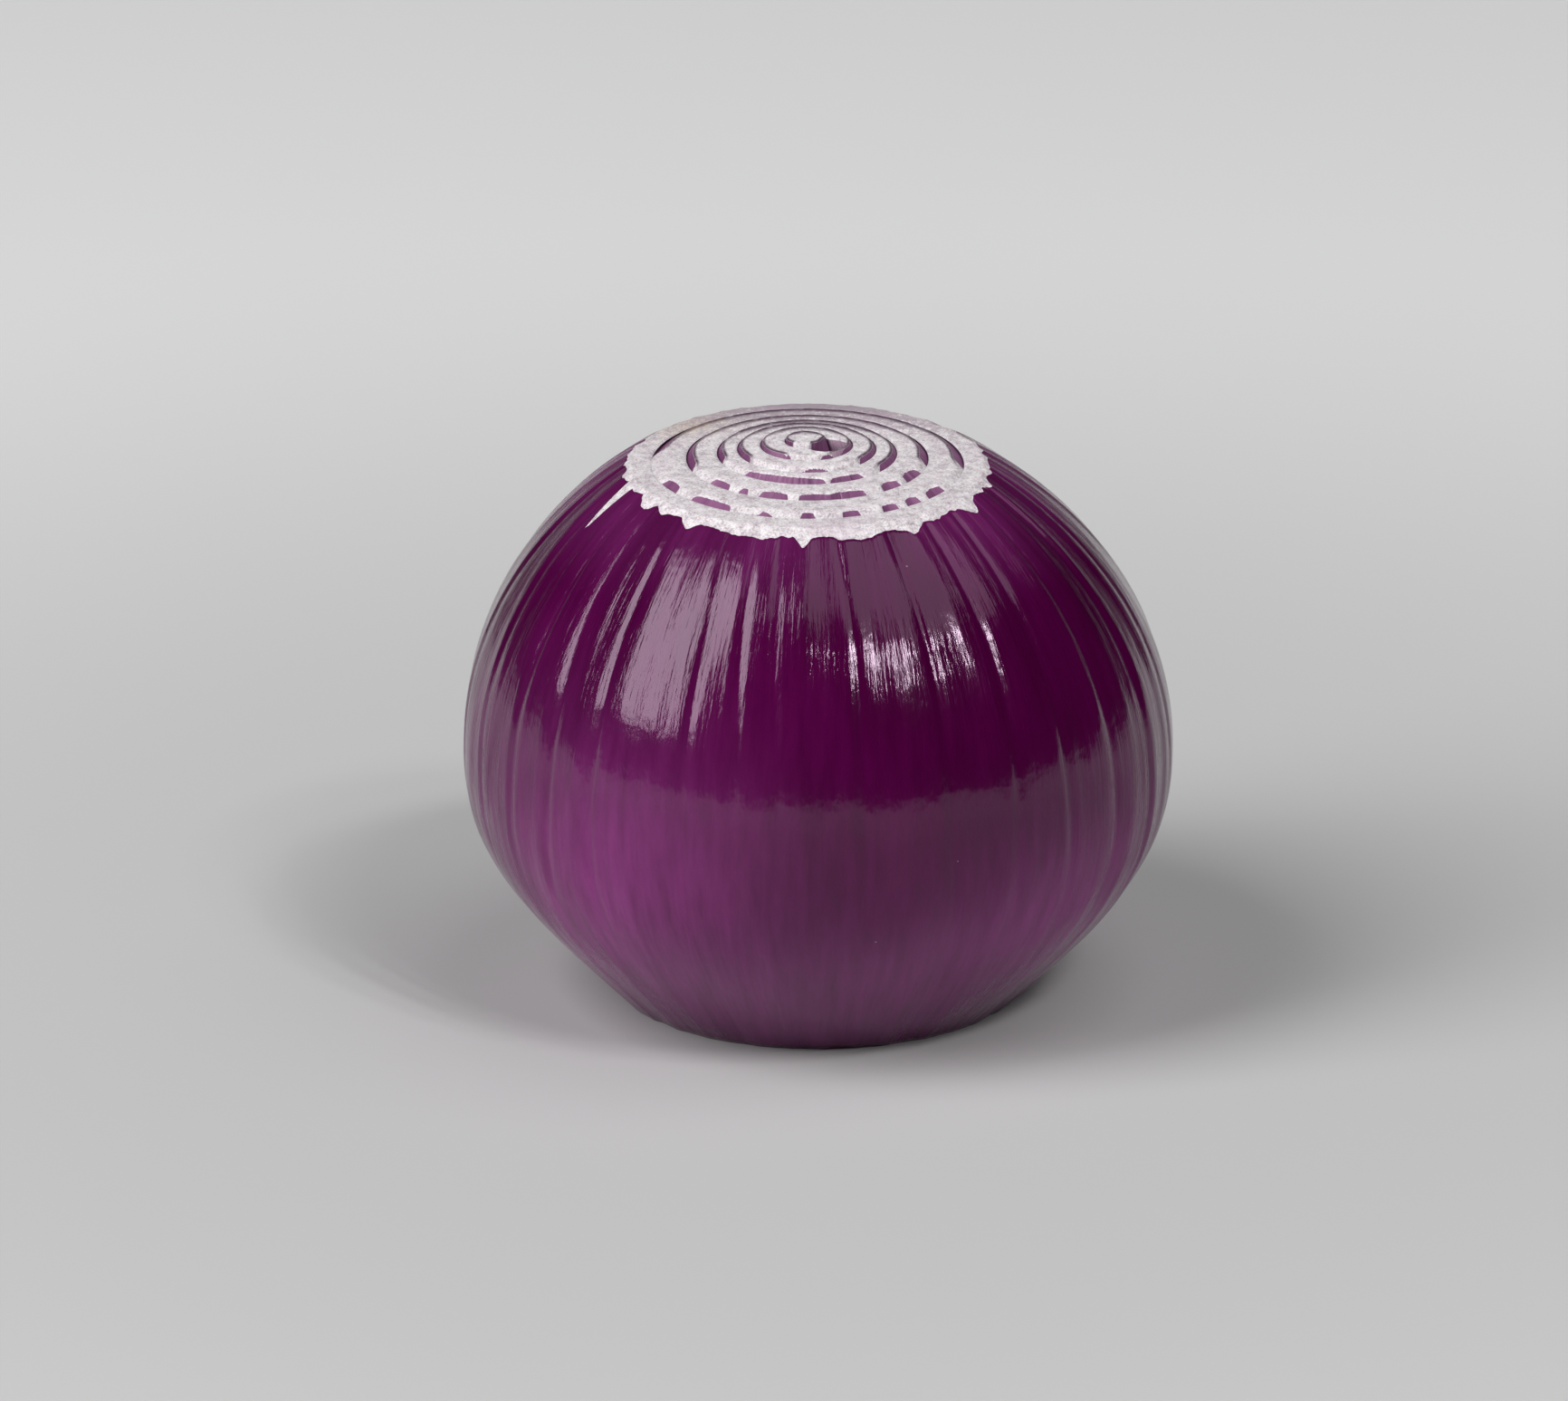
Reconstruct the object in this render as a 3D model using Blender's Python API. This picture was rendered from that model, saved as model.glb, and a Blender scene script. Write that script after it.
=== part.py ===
"""A peeled red onion with its neck sliced off and its root end trimmed flat.

Standing on its foot, it is a nest of leaf bases, called scales, around a bud. All of them grow
from one short stem, the root plate. The outline is turned about +Z and every scale follows it.
Lengths are in metres, +Z is up, and the neck's cut dips towards -Y.
"""

import math

import bmesh
import bpy

# Outline of the whole bulb.
WIDEST_RADIUS = 0.0380
WIDEST_HEIGHT = 0.0265
CUT_HEIGHT = 0.0583
CUT_TILT = math.radians(4.4)
FOOT_RADIUS = 0.0220
NECK_LEAN = -0.0012

# How the outline bends: the reach of each curve's handle, and its slope where it is cut.
SHOULDER_REACH = 0.0195
NECK_REACH = 0.0045
NECK_SLOPE = math.radians(29)
BELLY_REACH = 0.0107
FOOT_REACH = 0.0150
FOOT_SLOPE = math.radians(45)

# Thickness of each scale where the neck is cut, outermost first, and the bud they wrap.
SCALES = {
    "outer_scale": 0.0027,
    "second_scale": 0.0032,
    "third_scale": 0.0030,
    "fourth_scale": 0.0020,
    "fifth_scale": 0.0025,
    "sixth_scale": 0.0029,
}
BUD_RADIUS = 0.0027
GAP = 0.0003

# Each scale stands this much higher at the cut than the one round it, as it does once it is cut free.
CUT_STEP = 0.00035

# The root plate: a low dome under the bud, inside the scales that reach the foot.
SCALES_AT_FOOT = 4
PLATE_RIM = 0.0015
PLATE_CROWN = 0.0060

# Facets round each piece, fewer towards the middle, and rows up each wall.
SEGMENTS = (48, 40, 36, 32, 28, 24, 20)
ROWS = 10
ROW_CROWDING = 1.0
SHORTEST_ROW = 0.0004
PLATE_RINGS = 4

SKIN = ((0.080, 0.002, 0.045), 0.22)
FLESH = ((0.78, 0.68, 0.74), 0.45)
ROOT = ((0.62, 0.50, 0.33), 0.75)

neck_radius = sum(SCALES.values()) + BUD_RADIUS


def curve_point(points, t):
    """The radius and height of a cubic curve at t."""
    weights = ((1 - t) ** 3, 3 * t * (1 - t) ** 2, 3 * t * t * (1 - t), t**3)
    radius = sum(w * p[0] for w, p in zip(weights, points))
    height = sum(w * p[1] for w, p in zip(weights, points))
    return radius, height


def shoulder_curve():
    """From the widest ring up to the neck."""
    return (
        (WIDEST_RADIUS, WIDEST_HEIGHT),
        (WIDEST_RADIUS, WIDEST_HEIGHT + SHOULDER_REACH),
        (
            neck_radius + NECK_REACH * math.cos(NECK_SLOPE),
            CUT_HEIGHT - NECK_REACH * math.sin(NECK_SLOPE),
        ),
        (neck_radius, CUT_HEIGHT),
    )


def belly_curve():
    """From the widest ring down to the edge of the foot."""
    return (
        (WIDEST_RADIUS, WIDEST_HEIGHT),
        (WIDEST_RADIUS, WIDEST_HEIGHT - BELLY_REACH),
        (FOOT_RADIUS + FOOT_REACH * math.cos(FOOT_SLOPE), FOOT_REACH * math.sin(FOOT_SLOPE)),
        (FOOT_RADIUS, 0.0),
    )


def outline_radius(height):
    """The bulb's radius at a height. Above the neck the shoulder goes on at its last slope."""
    if height > CUT_HEIGHT:
        return neck_radius - (height - CUT_HEIGHT) / math.tan(NECK_SLOPE)
    points = shoulder_curve() if height > WIDEST_HEIGHT else belly_curve()
    rising = points[3][1] > points[0][1]
    low, high = 0.0, 1.0
    for _ in range(40):
        middle = (low + high) / 2
        if (curve_point(points, middle)[1] < height) == rising:
            low = middle
        else:
            high = middle
    return curve_point(points, low)[0]


def lean(height):
    """How far the axis has moved in X at a height: the neck grew a little to one side."""
    above = max(0.0, height - WIDEST_HEIGHT) / (CUT_HEIGHT - WIDEST_HEIGHT)
    return NECK_LEAN * above**2


def wall_radius(share, inset, height):
    """A nested wall keeps its share of the outline's radius, less its half of the gap."""
    return share * outline_radius(height) - inset


def cut_height(share, inset, number, angle):
    """The height at which a wall of this scale meets the sloping neck cut."""
    level = CUT_HEIGHT + number * CUT_STEP
    height = level
    for _ in range(20):
        height = level + math.tan(CUT_TILT) * wall_radius(share, inset, height) * math.sin(angle)
    return height


def plate_radius():
    """The plate fills the innermost scale that reaches the foot."""
    return share_inside(SCALES_AT_FOOT) * FOOT_RADIUS - GAP


def plate_top(radius):
    """The height of the root plate's upper side."""
    fall = min(1.0, radius / plate_radius()) ** 2
    return PLATE_CROWN - (PLATE_CROWN - PLATE_RIM) * fall


def seat_height(share, inset, on_plate):
    """Where a wall ends: at the foot, or a gap above the root plate."""
    height = 0.0
    if on_plate:
        for _ in range(20):
            height = plate_top(wall_radius(share, inset, height)) + GAP
    return height


def share_inside(count):
    """The share of the outline's radius that is left inside this many scales."""
    return 1 - sum(list(SCALES.values())[:count]) / neck_radius


def row_heights(seat, top):
    """Heights up one wall. All walls share them below the cut, so that neighbours bend at the same places."""
    rim = PLATE_RIM + GAP
    last = cut_height(1.0, 0.0, 0, -math.pi / 2) - SHORTEST_ROW
    shared = [rim + (last - rim) * (row / (ROWS - 1)) ** ROW_CROWDING for row in range(ROWS)]
    return [seat] + [height for height in shared if height > seat + SHORTEST_ROW] + [top]


def wall_rows(mesh, share, inset, number):
    """Loops of vertices up one wall of a scale, from its seat to the neck cut."""
    segments = SEGMENTS[number]
    seat = seat_height(share, inset, number >= SCALES_AT_FOOT)
    columns = []
    for step in range(segments):
        angle = 2 * math.pi * step / segments
        column = []
        for height in row_heights(seat, cut_height(share, inset, number, angle)):
            radius = wall_radius(share, inset, height)
            x = radius * math.cos(angle) + lean(height)
            column.append(mesh.verts.new((x, radius * math.sin(angle), height)))
        columns.append(column)
    return [list(loop) for loop in zip(*columns)]


def join_loops(mesh, first, second):
    """A band of faces between two loops with as many vertices."""
    for step in range(len(first)):
        after = (step + 1) % len(first)
        mesh.faces.new((first[step], first[after], second[after], second[step]))


def close_loop(mesh, loop, height, facing_up):
    """A fan from a loop to a point on the axis."""
    middle = mesh.verts.new((lean(height), 0.0, height))
    for step in range(len(loop)):
        after = (step + 1) % len(loop)
        if facing_up:
            mesh.faces.new((loop[step], loop[after], middle))
        else:
            mesh.faces.new((loop[after], loop[step], middle))


def make_object(name, mesh, material):
    """Turn the drawn faces into a named object with its material."""
    data = bpy.data.meshes.new(name)
    mesh.to_mesh(data)
    mesh.free()
    data.materials.append(material)
    data.shade_smooth()
    data.set_sharp_from_angle(angle=math.radians(40))
    bpy.context.scene.collection.objects.link(bpy.data.objects.new(name, data))


def make_material(name, finish):
    """A plain coloured finish."""
    colour, roughness = finish
    material = bpy.data.materials.new(name)
    material.use_nodes = True
    shader = material.node_tree.nodes["Principled BSDF"]
    shader.inputs["Base Color"].default_value = (*colour, 1.0)
    shader.inputs["Roughness"].default_value = roughness
    shader.inputs["Metallic"].default_value = 0.0
    return material


def make_scale(name, number, finish):
    """A scale: an open-ended barrel between two nested walls, cut across at the neck."""
    mesh = bmesh.new()
    outer_inset = GAP / 2 if number else 0.0
    outer = wall_rows(mesh, share_inside(number), outer_inset, number)
    inner = wall_rows(mesh, share_inside(number + 1), -GAP / 2, number)
    loops = outer + inner[::-1]
    for lower, upper in zip(loops, loops[1:] + loops[:1]):
        join_loops(mesh, lower, upper)
    make_object(name, mesh, make_material(name, finish))


def make_bud():
    """The bud in the middle, a spindle that stands on the root plate's crown."""
    mesh = bmesh.new()
    number = len(SCALES)
    rows = wall_rows(mesh, share_inside(number), GAP / 2, number)
    for lower, upper in zip(rows, rows[1:]):
        join_loops(mesh, lower, upper)
    close_loop(mesh, rows[0], PLATE_CROWN + GAP, facing_up=False)
    close_loop(mesh, rows[-1], CUT_HEIGHT + number * CUT_STEP, facing_up=True)
    make_object("bud", mesh, make_material("bud", FLESH))


def make_root_plate():
    """The trimmed stem: a flat disc under a low dome."""
    mesh = bmesh.new()
    segments = SEGMENTS[SCALES_AT_FOOT]
    loops = []
    outline = [(plate_radius(), 0.0)]
    for ring in range(PLATE_RINGS):
        radius = plate_radius() * (1 - ring / PLATE_RINGS)
        outline.append((radius, plate_top(radius)))
    for radius, height in outline:
        loop = []
        for step in range(segments):
            angle = 2 * math.pi * step / segments
            loop.append(mesh.verts.new((radius * math.cos(angle), radius * math.sin(angle), height)))
        loops.append(loop)
    for lower, upper in zip(loops, loops[1:]):
        join_loops(mesh, lower, upper)
    close_loop(mesh, loops[0], 0.0, facing_up=False)
    close_loop(mesh, loops[-1], PLATE_CROWN, facing_up=True)
    make_object("root_plate", mesh, make_material("root_plate", ROOT))


for old in list(bpy.data.objects):
    bpy.data.objects.remove(old)
for place, scale_name in enumerate(SCALES):
    make_scale(scale_name, place, FLESH if place else SKIN)
make_bud()
make_root_plate()
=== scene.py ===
# %% [markdown]
# # A peeled red onion with its neck sliced off
#
# An onion bulb is a nest of leaf bases, called scales, wrapped round a bud. All of them grow from
# one short stem at the bottom, the root plate. This onion has lost its dry skin, its neck is cut
# across and its root end is trimmed, so the scales show as rings on top and again underneath.
#
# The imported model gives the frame: which pieces there are, where they stand and how big they are.
# This script grows the same pieces again with ribs, torn edges and moist flesh.

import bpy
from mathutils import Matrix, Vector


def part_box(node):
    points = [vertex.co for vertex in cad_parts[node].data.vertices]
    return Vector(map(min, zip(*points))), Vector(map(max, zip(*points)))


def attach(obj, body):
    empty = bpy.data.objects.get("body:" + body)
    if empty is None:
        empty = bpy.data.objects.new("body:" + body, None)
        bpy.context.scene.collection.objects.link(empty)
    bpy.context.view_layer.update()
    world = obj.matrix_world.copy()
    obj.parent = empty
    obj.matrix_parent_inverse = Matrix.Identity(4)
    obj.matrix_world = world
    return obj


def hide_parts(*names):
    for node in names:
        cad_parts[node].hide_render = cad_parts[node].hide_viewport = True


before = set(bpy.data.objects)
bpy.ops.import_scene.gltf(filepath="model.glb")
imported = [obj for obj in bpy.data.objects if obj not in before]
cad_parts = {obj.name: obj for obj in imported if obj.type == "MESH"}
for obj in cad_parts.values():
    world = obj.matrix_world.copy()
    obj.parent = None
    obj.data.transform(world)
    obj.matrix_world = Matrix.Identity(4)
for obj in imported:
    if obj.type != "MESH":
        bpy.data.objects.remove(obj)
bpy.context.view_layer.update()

# %% Everything else that is imported
import math

import bpy
import numpy as np
from mathutils import Vector

MM = 0.001
EULER = 2.718

# %% [markdown]
# ## Writing node trees as arithmetic
#
# A node tree is a calculation drawn as boxes. Drawn in code box by box it is hard to read, so a
# small class holds a socket and gives it Python's operators: adding two of them adds a Math node.
# The bench is the tree that the nodes are put on, and it makes every other node.

# %% A wire and a bench


class Wire:
    """A value on its way through a tree."""

    def __init__(self, bench, socket):
        self.bench = bench
        self.socket = socket

    def math(self, operation, *others):
        sockets = dict(enumerate((self, *others)))
        return self.bench.node("ShaderNodeMath", {"operation": operation}, sockets)

    def step(self, low, high):
        """0 below low, 1 above high, smooth between."""
        sockets = {0: self, 1: low, 2: high}
        return self.bench.node("ShaderNodeMapRange", {"interpolation_type": "SMOOTHSTEP"}, sockets)

    def bump_at(self, centre, width):
        """1 at the centre, falling off smoothly to both sides."""
        away = (self - centre) / width
        return EULER ** (away * away * -1)


def arithmetic(operation, turned):
    """One operator's method. The turned form is for a plain number on the left."""

    def method(self, other):
        pair = (other, self) if turned else (self, other)
        return self.bench.node("ShaderNodeMath", {"operation": operation}, dict(enumerate(pair)))

    return method


OPERATORS = {
    "add": "ADD",
    "sub": "SUBTRACT",
    "mul": "MULTIPLY",
    "truediv": "DIVIDE",
    "pow": "POWER",
}
for sign, operation in OPERATORS.items():
    setattr(Wire, f"__{sign}__", arithmetic(operation, False))
    setattr(Wire, f"__r{sign}__", arithmetic(operation, True))


class Bench:
    """A node tree to work on."""

    def __init__(self, tree):
        self.tree = tree

    def node(self, kind, settings=None, sockets=None, out=0):
        """Make a node: its settings first, then its sockets' values or wires."""
        made = self.tree.nodes.new(kind)
        for name, value in (settings or {}).items():
            setattr(made, name, value)
        for key, value in (sockets or {}).items():
            if isinstance(value, Wire):
                self.tree.links.new(value.socket, made.inputs[key])
            else:
                made.inputs[key].default_value = value
        return Wire(self, made.outputs[out]) if len(made.outputs) else None

    def vector(self, x, y, z):
        return self.node("ShaderNodeCombineXYZ", None, {0: x, 1: y, 2: z})

    def parts(self, vector):
        first = self.node("ShaderNodeSeparateXYZ", None, {0: vector})
        return [Wire(self, socket) for socket in first.socket.node.outputs]

    def noise(self, vector, scale, detail=2.0, seed=0.0, roughness=0.5):
        """Smooth noise from 0 to 1. The seed is a place along a fourth axis."""
        sockets = {"Vector": vector, "W": seed, "Scale": scale}
        sockets.update({"Detail": detail, "Roughness": roughness})
        return self.node("ShaderNodeTexNoise", {"noise_dimensions": "4D"}, sockets)

    def chance(self, number):
        """A number from 0 to 1 that is different for each whole number."""
        return self.node("ShaderNodeTexWhiteNoise", {"noise_dimensions": "1D"}, {"W": number})

    def mix(self, factor, first, second):
        """Blend two colours."""
        sockets = {0: factor, 6: first, 7: second}
        return self.node("ShaderNodeMix", {"data_type": "RGBA"}, sockets, out=2)


print("tools ready")

# %% [markdown]
# ## The outline
#
# A bulb is round about its axis, so one curve says almost everything about it. Two cubic curves
# meet at the widest ring: the shoulder goes up to the neck and the belly down to the foot. Every
# scale keeps its share of the radius, which is how real scales lie: thick at the belly, thin at
# the neck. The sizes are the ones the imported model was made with. Only the widest radius is read
# from the frame.

# %% Sizes of the outline
cad_low, cad_high = (Vector(corner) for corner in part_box("outer_scale"))

WIDEST_RADIUS = (cad_high.x - cad_low.x) / 2
WIDEST_HEIGHT = 26.5 * MM
CUT_HEIGHT = 58.3 * MM
CUT_SLOPE = math.tan(math.radians(4.4))
CUT_STEP = 0.35 * MM
FOOT_RADIUS = 22.0 * MM
NECK_LEAN = -1.2 * MM
SHOULDER_REACH = 19.5 * MM
BELLY_REACH = 10.7 * MM
NECK_REACH, NECK_FALL = 4.5 * MM, math.radians(29)
FOOT_REACH, FOOT_RISE = 15.0 * MM, math.radians(45)

THICKNESS = {
    "outer_scale": 2.7 * MM,
    "second_scale": 3.2 * MM,
    "third_scale": 3.0 * MM,
    "fourth_scale": 2.0 * MM,
    "fifth_scale": 2.5 * MM,
    "sixth_scale": 2.9 * MM,
}
BUD_RADIUS = 2.7 * MM
NECK_RADIUS = sum(THICKNESS.values()) + BUD_RADIUS

# Each control point is (radius, height). The widest ring comes first, then its handle.
SHOULDER = (
    (WIDEST_RADIUS, WIDEST_HEIGHT),
    (WIDEST_RADIUS, WIDEST_HEIGHT + SHOULDER_REACH),
    (NECK_RADIUS + NECK_REACH * math.cos(NECK_FALL), CUT_HEIGHT - NECK_REACH * math.sin(NECK_FALL)),
    (NECK_RADIUS, CUT_HEIGHT),
)
BELLY = (
    (WIDEST_RADIUS, WIDEST_HEIGHT),
    (WIDEST_RADIUS, WIDEST_HEIGHT - BELLY_REACH),
    (FOOT_RADIUS + FOOT_REACH * math.cos(FOOT_RISE), FOOT_REACH * math.sin(FOOT_RISE)),
    (FOOT_RADIUS, 0.0),
)
print("neck radius", round(NECK_RADIUS / MM, 2), "mm, widest", round(WIDEST_RADIUS / MM, 2), "mm")

# %% The outline as numbers and as nodes


def cubic(t):
    """The four weights of a cubic curve. It takes a number or a wire."""
    rest = 1 - t
    return rest * rest * rest, 3 * t * rest * rest, 3 * t * t * rest, t * t * t


def outline(way):
    """(radius, height) at a way along the outline: -1 foot, 0 widest ring, 1 neck."""
    curve = SHOULDER if way > 0 else BELLY
    weights = cubic(abs(way))
    return tuple(sum(w * point[k] for w, point in zip(weights, curve)) for k in (0, 1))


def outline_nodes(way):
    """The same as wires. Past the neck the outline goes straight on."""
    above = way.math("GREATER_THAN", 0.0)
    past = (way - 1).math("MAXIMUM", 0.0)
    weights = cubic(way.math("ABSOLUTE").math("MINIMUM", 1.0))
    result = []
    for k in (0, 1):
        points = [low[k] + above * (high[k] - low[k]) for low, high in zip(BELLY, SHOULDER)]
        terms = [weight * point for weight, point in zip(weights, points)]
        onward = past * 3 * (SHOULDER[3][k] - SHOULDER[2][k])
        result.append(terms[0] + terms[1] + terms[2] + terms[3] + onward)
    return result


def way_to(height, share, plate_top):
    """How far down a wall goes before it meets the root plate's dome."""
    low, high = -1.0, 0.0
    for _ in range(40):
        middle = (low + high) / 2
        radius, z = outline(middle)
        if z < plate_top(share * radius) + height:
            low = middle
        else:
            high = middle
    return low


for name, way in (("foot", -1.0), ("widest ring", 0.0), ("neck", 1.0)):
    print(name, [round(value / MM, 1) for value in outline(way)], "mm")

# %% [markdown]
# ## Growing a scale
#
# A scale is an open barrel: an outer wall, a bare edge where the skin has chipped, the cut face,
# the lining inside and the trimmed end at the foot. Drawn round in a circle those five make one
# closed band, so a plain grid can be wrapped into it: across the grid is the angle, and up the
# grid is the walk round the section. Geometry Nodes suit this, because all six scales and the bud
# follow the same rule with other numbers.
#
# Veins run from root to neck under the skin and stand a little proud, with shallow hollows
# between them, like the fluting of a column. Where the knife crosses them, the edge of the skin
# turns into small arches. Between scales the hollows are the slits that show on the cut.

# %% Inputs of the tree
EDGE_ROWS = 4
CUT_ROWS = 20
LINING_ROWS = 14
FOOT_ROWS = 8
SKIN_DEPTH = 0.07 * MM
TOUCH = 0.02 * MM
WELD = 0.000002
NECK_SPEED = 3 * NECK_REACH * math.sin(NECK_FALL)
NEAR_NECK = 0.2
NECK_BEND = (CUT_HEIGHT - outline(1 - NEAR_NECK)[1] - NEAR_NECK * NECK_SPEED) / NEAR_NECK**2

NUMBERS = (
    "Outer share", "Inner share", "Outer seat", "Inner seat", "Place", "Seed", "Ribs",
    "Neck rib depth", "Belly rib depth", "Foot rib depth", "Waves", "Chips",
    "Slit", "Open from", "Open to", "Pocket", "Lining pocket", "Pocket angle",
)
COUNTS = ("Round", "Wall rows")
FINISHES = ("Skin", "Flesh", "Lining")


def new_tree(name, numbers, counts, finishes):
    """An empty Geometry Nodes tree, and its inputs as wires."""
    tree = bpy.data.node_groups.new(name, "GeometryNodeTree")
    kinds = [(n, "NodeSocketFloat") for n in numbers] + [(n, "NodeSocketInt") for n in counts]
    kinds += [(n, "NodeSocketMaterial") for n in finishes]
    for label, kind in [("Geometry", "NodeSocketGeometry")] + kinds:
        tree.interface.new_socket(label, in_out="INPUT", socket_type=kind)
    tree.interface.new_socket("Geometry", in_out="OUTPUT", socket_type="NodeSocketGeometry")
    bench = Bench(tree)
    source = tree.nodes.new("NodeGroupInput")
    labels = ["Geometry"] + [label for label, _ in kinds]
    return bench, {label: Wire(bench, source.outputs[label]) for label in labels}


def end_tree(bench, mesh, finishes):
    """Close a tree: real geometry, then one material for each zone."""
    mesh = bench.node("GeometryNodeRealizeInstances", None, {0: mesh})
    zone = bench.node("GeometryNodeInputNamedAttribute", {"data_type": "FLOAT"}, {"Name": "zone"})
    for number, finish in enumerate(finishes):
        chosen = zone.math("COMPARE", float(number), 0.1)
        mesh = bench.node("GeometryNodeSetMaterial", None, {0: mesh, 1: chosen, 2: finish})
    output = bench.tree.nodes.new("NodeGroupOutput")
    bench.tree.links.new(mesh.socket, output.inputs[0])


print(len(NUMBERS), "number inputs")

# %% The veins and the torn edge


def fluting(bench, seed, count, ring, turn):
    """Depth of the hollows, 0 on a vein and up to 1, how far a vein juts, and how near it is."""
    drift = (bench.noise(ring, 1.6, 1.0, seed) - 0.5) * 3.4
    phase = count * turn + drift
    cell = phase.math("FLOOR")
    across = (2 * (phase - cell) - 1).math("ABSOLUTE")
    depth = 0.25 + 0.75 * bench.chance(cell.math("FLOORED_MODULO", count) + seed)
    nearest = (phase + 0.5).math("FLOOR")
    vein = 1 - ((phase - nearest) * 2).math("ABSOLUTE")
    jut = bench.chance(nearest.math("FLOORED_MODULO", count) + seed + 0.37)
    return depth * (1 - across * across), jut * vein**1.4, vein


# Where the skin is torn further down: (angle in degrees, half width in degrees, reach), the
# reach as a way along the outline. The reaches below are ways too.
TEARS = (
    (203, 2.4, 0.32), (218, 3.5, 0.04), (236, 3.5, 0.035), (251, 4.0, 0.02),
    (268.5, 2.4, 0.055), (284, 4.5, 0.03), (300, 3.0, 0.025), (322, 5.0, 0.055),
    (338, 4.0, 0.03), (20, 5, 0.05), (150, 4, 0.04),
)
LEAST_TEAR, FRONT_TEAR, VEIN_TEAR, RAGGED_TEAR = 0.006, 0.030, 0.030, 0.05


def bare_edge(bench, given, turn, jut, ring, front):
    """How far below the cut the outermost skin ends, along the way up the outline."""
    ragged = bench.noise(ring, 26.0, 3.0, given["Seed"])
    edge = LEAST_TEAR + FRONT_TEAR * front + jut * VEIN_TEAR
    edge = edge + (ragged - 0.45).math("MAXIMUM", 0.0) * RAGGED_TEAR
    for angle, half_width, reach in TEARS:
        away = (turn * 360 - angle).math("ABSOLUTE") / half_width
        edge = edge + reach * (1 - away).math("MAXIMUM", 0.0)
    return edge


print(len(TEARS), "tears in the skin's edge")

# %% Furrows down the skin over sunken veins
# Each is (angle in degrees, half width in degrees, depth in mm).
FURROWS = (
    (232.0, 1.7, 0.24), (248.8, 1.3, 0.19), (256.5, 2.0, 0.26), (263.0, 1.5, 0.16),
    (277.0, 1.5, 0.20), (291.5, 1.4, 0.20), (303.5, 1.5, 0.24), (314.0, 1.6, 0.22),
    (325.0, 1.5, 0.20), (337.0, 1.5, 0.24), (350.0, 1.5, 0.22), (222.0, 1.5, 0.20),
    (212.0, 1.5, 0.24), (200.0, 1.5, 0.24), (187.0, 1.5, 0.22), (20.0, 1.6, 0.22),
    (48.0, 1.6, 0.24), (75.0, 1.5, 0.20), (101.0, 1.7, 0.24), (133.0, 1.6, 0.22),
    (160.0, 1.5, 0.24),
)
FURROW_DRIFT = 4


def furrow_depth(turn, drift):
    """Depth of the furrows in mm at a place round the axis. The drift makes them wander."""
    depth = turn * 0
    for angle, half_width, deep in FURROWS:
        off = ((turn * 360 + drift * FURROW_DRIFT - angle) / half_width).math("ABSOLUTE")
        depth = depth + deep * (1 - off).step(0.0, 1.0)
    return depth


print(len(FURROWS), "furrows")

# %% Slits and openings between scales
# Each opening at the front is (scale's place, angle, half width in degrees, depth in mm).
OPENINGS = (
    (1, 213, 5.5, 0.8), (1, 235, 9.0, 0.75), (1, 255.6, 4.6, 0.25), (1, 270, 3.0, 0.6),
    (1, 284.7, 3.6, 0.6), (1, 298.7, 3.4, 0.7), (1, 308.8, 3.6, 0.8), (1, 320.5, 5.2, 0.8),
    (2, 227, 6.4, 0.6), (2, 240.7, 2.6, 0.5), (2, 255, 7.0, 1.0), (2, 273, 7.5, 0.8),
    (2, 288, 9.0, 1.05), (2, 311, 5.8, 0.9), (2, 327.5, 7.0, 0.9), (3, 255, 27.0, 1.15),
    (3, 295, 12.0, 0.6), (4, 277, 14.0, 0.25), (5, 238, 14.0, 0.5), (5, 300, 16.0, 0.3),
)
# A slit narrows to its end over the taper. It is widest a little way in, and narrower at the back.
SLIT_TAPER, WIDEST_IN, WIDEST_SPREAD = 12.0, 10.0, 18.0
BACK_WIDTH, EXTRA_WIDTH = 0.26, 0.62
ARCH_SHAPE, ARCH_DEPTH = 0.8, 0.85


def slits(bench, given, ring, turn):
    """How far a scale has shrunk from its neighbour, from 0 to 1, and where that leaves an opening.

    It is open round the back and the sides, widest where that ends, and closed across the front,
    but for a few arched openings."""
    half = (given["Open to"] - given["Open from"]) / 2
    middle = (given["Open to"] + given["Open from"]) / 2
    away = turn.math("WRAP", middle / 360 - 0.5, middle / 360 + 0.5) * 360 - middle
    inside = half - away.math("ABSOLUTE")
    open_back = inside.step(0.0, SLIT_TAPER)
    width = BACK_WIDTH + EXTRA_WIDTH * inside.bump_at(WIDEST_IN, WIDEST_SPREAD)
    arch = turn * 0
    for place, angle, half_width, depth in OPENINGS:
        off = (turn * 360 - angle) / half_width
        here = given["Place"].math("COMPARE", float(place), 0.1)
        rounded = (1 - off * off).math("MAXIMUM", 0.0) ** ARCH_SHAPE
        arch = arch.math("MAXIMUM", here * depth * rounded)
    teeth = 0.25 + 1.5 * bench.noise(ring, 48.0, 3.0, given["Seed"] + 6.0)
    shrunk = open_back * width * (0.45 + 0.55 * teeth)
    return shrunk, arch * ARCH_DEPTH * teeth * (1 - open_back), open_back


print(len(OPENINGS), "openings at the front")

# %% Where the knife passes


def knife(given, share, sine):
    """The way along the outline at which the sloping cut meets a wall.

    Going down from the neck by w, the outline falls NECK_SPEED * w + NECK_BEND * w * w, so the way
    to a given depth is the root of a quadratic. Going up it is straight."""
    run = share * sine * CUT_SLOPE
    rise = (given["Place"] * CUT_STEP + run * NECK_RADIUS) / (1 + run / math.tan(NECK_FALL))
    drop = (rise * -1).math("MAXIMUM", 0.0)
    down = ((drop * (4 * NECK_BEND) + NECK_SPEED**2) ** 0.5 - NECK_SPEED) / (2 * NECK_BEND)
    return 1 - down + rise.math("MAXIMUM", 0.0) / NECK_SPEED


print("one step up the neck is", round(CUT_STEP / NECK_SPEED, 3), "of the shoulder's way")

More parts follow.
